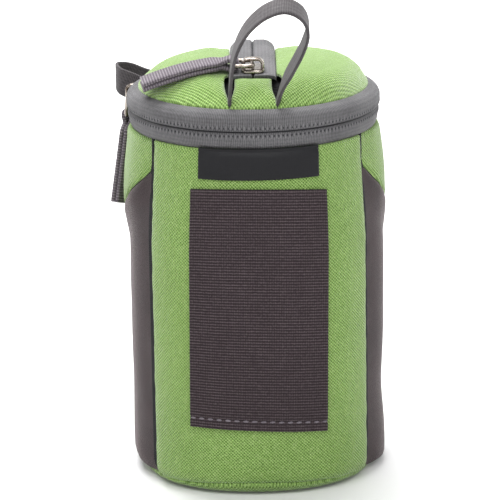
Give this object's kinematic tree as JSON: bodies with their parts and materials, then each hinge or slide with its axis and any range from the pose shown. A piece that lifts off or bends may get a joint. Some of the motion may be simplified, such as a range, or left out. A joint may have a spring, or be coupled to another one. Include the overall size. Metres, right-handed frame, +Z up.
{
  "type": "lens pouch",
  "caption": "Round padded pouch for a camera lens, with a zipped domed lid, a zip down the back, a carry loop, a side loop and flat webbing on the front.",
  "frame": {"origin": "middle of the flat base, on the surface that the pouch stands on", "axes": "+Z up along the pouch, -Y out of the front with the wide webbing, +X to the right seen from the front"},
  "size_m": [0.1098, 0.1115, 0.1994],
  "materials": {
    "green_fabric": "woven nylon",
    "side_fabric": "smooth stretch knit",
    "zip_tape": "woven zip tape",
    "zip_coil": "nylon coil",
    "wide_webbing": "ribbed webbing",
    "loop_webbing": "fine ribbed webbing",
    "puller_webbing": "ribbed webbing",
    "label": "smooth woven label",
    "foam": "closed-cell foam",
    "lining": "brushed knit lining",
    "metal": "nickel plate"
  },
  "bodies": {
    "pouch": {"back_foot_panel": "green_fabric", "back_left_panel": "green_fabric", "back_right_panel": "green_fabric", "back_zip_coil_left": "zip_coil", "back_zip_coil_right": "zip_coil", "back_zip_foot_stop": "metal", "back_zip_tape_left": "zip_tape", "back_zip_tape_right": "zip_tape", "band_zip_closed_stop": "metal", "band_zip_open_stop": "metal", "base_foam": "foam", "base_lining": "lining", "base_panel": "green_fabric", "front_label": "label", "front_panel": "green_fabric", "front_webbing": "wide_webbing", "left_hinge_lower": "zip_tape", "left_shoulder_panel": "green_fabric", "left_side_panel": "side_fabric", "lower_zip_coil": "zip_coil", "lower_zip_tape": "zip_tape", "right_hinge_lower": "zip_tape", "right_shoulder_panel": "green_fabric", "right_side_panel": "side_fabric", "side_loop": "loop_webbing", "wall_foam": "foam", "wall_lining": "lining"},
    "lid": {"left_hinge_upper": "zip_tape", "lid_foam": "foam", "lid_front_panel": "green_fabric", "lid_left_panel": "green_fabric", "lid_lining": "lining", "lid_right_panel": "green_fabric", "lid_zip_coil_left": "zip_coil", "lid_zip_coil_right": "zip_coil", "lid_zip_front_stop": "metal", "lid_zip_tape_left": "zip_tape", "lid_zip_tape_right": "zip_tape", "right_hinge_upper": "zip_tape", "upper_zip_coil": "zip_coil", "upper_zip_tape": "zip_tape"},
    "carry_loop": {"carry_loop": "loop_webbing"},
    "top_slider": {"top_zip_slider": "metal"},
    "top_puller": {"top_pull_link": "metal", "top_pull_tab": "puller_webbing"},
    "band_slider": {"band_zip_slider": "metal"},
    "band_puller": {"band_pull_link": "metal", "band_pull_tab": "puller_webbing"}
  },
  "joints": [
    {"name": "lid_hinge", "type": "hinge", "parent": "pouch", "child": "lid", "pos_m": [0, 0.0499, 0.147], "axis": [-1, 0, 0], "range_deg": [0, 120]},
    {"name": "band_zip_travel", "type": "hinge", "parent": "pouch", "child": "band_slider", "pos_m": [0, 0, 0.147], "axis": [0, 0, 1], "range_deg": [0, 250]},
    {"name": "band_puller_swing", "type": "hinge", "parent": "band_slider", "child": "band_puller", "pos_m": [-0.04851, 0.02059, 0.147], "axis": [0.3907, 0.9205, 0], "range_deg": [0, 110]},
    {"name": "top_zip_travel", "type": "slide", "parent": "lid", "child": "top_slider", "axis": [0, 0.9989, 0.0472], "range_m": [0, 0.04]},
    {"name": "top_puller_lift", "type": "hinge", "parent": "top_slider", "child": "top_puller", "pos_m": [0, -0.01965, 0.16754], "axis": [0, 0.9989, 0.0472], "range_deg": [0, 110]},
    {"name": "carry_loop_swing", "type": "hinge", "parent": "lid", "child": "carry_loop", "pos_m": [0, -0.0419, 0.15797], "axis": [1, 0, 0], "range_deg": [-40, 40], "stiffness_Nm_per_rad": 0.02}
  ]
}
